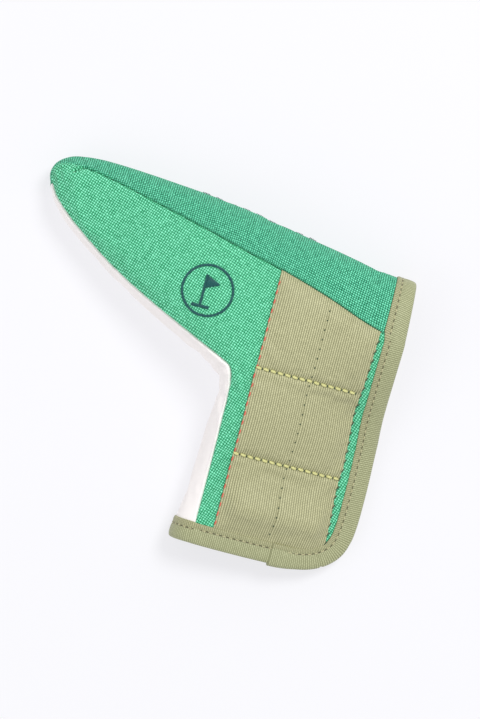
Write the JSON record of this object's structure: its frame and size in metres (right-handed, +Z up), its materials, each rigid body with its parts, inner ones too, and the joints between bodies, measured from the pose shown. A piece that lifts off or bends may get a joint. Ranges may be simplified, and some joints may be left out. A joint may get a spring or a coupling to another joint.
{
  "type": "putter head cover",
  "caption": "Padded fabric cover for a blade putter head, with a sock-like arm, a neck and a soft flap that closes the heel side.",
  "frame": {"origin": "on the ground under the middle of the cover's bounding box, with the cover lying on its back", "axes": "+X from the toe to the heel, +Y from the shaft opening to the sole, +Z up, out of the front"},
  "size_m": [0.1732, 0.1546, 0.0386],
  "materials": {
    "panel_fabric": "plain weave",
    "sole_fabric": "plain weave",
    "gusset_fabric": "smooth",
    "foam": "matte",
    "lining": "soft pile",
    "webbing": "twill",
    "tack_thread": "thread",
    "dark_thread": "thread",
    "edge_yarn": "thread",
    "binding_tape": "ribbed",
    "tape_thread": "thread",
    "emblem_thread": "satin stitch",
    "magnet": "satin",
    "pocket_fabric": "matte"
  },
  "bodies": {
    "cover": {"front_panel": "panel_fabric", "front_foam": "foam", "front_lining": "lining", "sole_gusset": "sole_fabric", "sole_foam": "foam", "sole_lining": "lining", "topline_gusset": "gusset_fabric", "topline_foam": "foam", "topline_lining": "lining", "back_panel": "panel_fabric", "back_foam": "foam", "back_lining": "lining", "webbing_left": "webbing", "webbing_right": "webbing", "tack_stitches": "tack_thread", "edge_stitches": "dark_thread", "edge_yarn": "edge_yarn", "edge_binding": "binding_tape", "binding_stitches": "tape_thread", "emblem_embroidery": "emblem_thread", "sole_embroidery": "emblem_thread", "back_magnet_upper": "magnet", "back_magnet_lower": "magnet", "back_pocket_upper": "pocket_fabric", "back_pocket_lower": "pocket_fabric"},
    "front_flap": {"flap_panel": "panel_fabric", "flap_foam": "foam", "flap_lining": "lining", "flap_webbing_left": "webbing", "flap_webbing_right": "webbing", "flap_tack_stitches": "tack_thread", "flap_edge_stitches": "dark_thread", "flap_edge_yarn": "edge_yarn", "flap_binding": "binding_tape", "flap_binding_stitches": "tape_thread", "flap_magnet_upper": "magnet", "flap_magnet_lower": "magnet", "flap_pocket_upper": "pocket_fabric", "flap_pocket_lower": "pocket_fabric"}
  },
  "joints": [
    {"name": "flap", "type": "hinge", "parent": "cover", "child": "front_flap", "pos_m": [0.076, 0.033, 0.0317], "axis": [-0.5041, -0.8616, -0.0595], "range_deg": [0, 65]}
  ]
}
